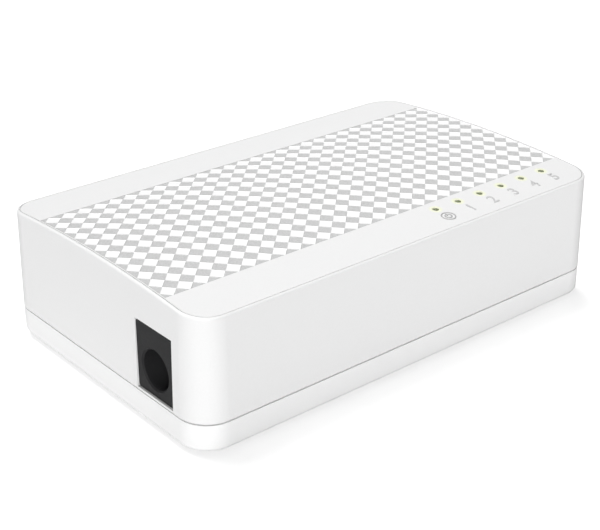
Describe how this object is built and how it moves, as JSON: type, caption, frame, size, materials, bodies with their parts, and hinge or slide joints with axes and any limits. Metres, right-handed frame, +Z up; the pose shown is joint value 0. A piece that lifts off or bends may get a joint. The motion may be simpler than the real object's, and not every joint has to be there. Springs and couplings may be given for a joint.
{
  "type": "desktop network switch",
  "caption": "Small white desktop network switch: arched checkered cover, numbered status lights, barrel power socket in one end and a row of modular ports behind.",
  "frame": {"origin": "centre of the case's plan, on the surface that the feet stand on", "axes": "+X along the case's length away from the power socket, +Y towards the network ports, +Z up"},
  "size_m": [0.0836, 0.0524, 0.0231],
  "materials": {
    "case": "fine satin white moulding",
    "rubber": "matte",
    "screw": "zinc plated",
    "board": "solder mask",
    "black_plastic": "satin black moulding",
    "contact": "tinned",
    "gold_contact": "gold plated",
    "light": "clear resin",
    "clear": "clear moulding",
    "can": "satin",
    "ceramic_chip": "glazed"
  },
  "bodies": {
    "root": {"upper_shell": "case", "lower_shell": "case", "rubber_foot_1": "rubber", "rubber_foot_2": "rubber", "rubber_foot_3": "rubber", "rubber_foot_4": "rubber", "case_screws": "screw", "circuit_board": "board", "dc_jack_housing": "black_plastic", "dc_jack_pin": "contact", "dc_jack_spring": "contact", "dc_jack_terminals": "contact", "port_1_housing": "black_plastic", "port_1_contacts": "gold_contact", "port_1_magnetics": "black_plastic", "port_1_light": "light", "port_2_housing": "black_plastic", "port_2_contacts": "gold_contact", "port_2_magnetics": "black_plastic", "port_2_light": "light", "port_3_housing": "black_plastic", "port_3_contacts": "gold_contact", "port_3_magnetics": "black_plastic", "port_3_light": "light", "port_4_housing": "black_plastic", "port_4_contacts": "gold_contact", "port_4_magnetics": "black_plastic", "port_4_light": "light", "port_5_housing": "black_plastic", "port_5_contacts": "gold_contact", "port_5_magnetics": "black_plastic", "port_5_light": "light", "power_light": "light", "light_guide": "clear", "switch_chip": "black_plastic", "switch_chip_legs": "contact", "crystal": "can", "input_capacitor": "can", "output_capacitor": "can", "power_inductor": "black_plastic", "small_parts": "ceramic_chip"}
  },
  "joints": []
}
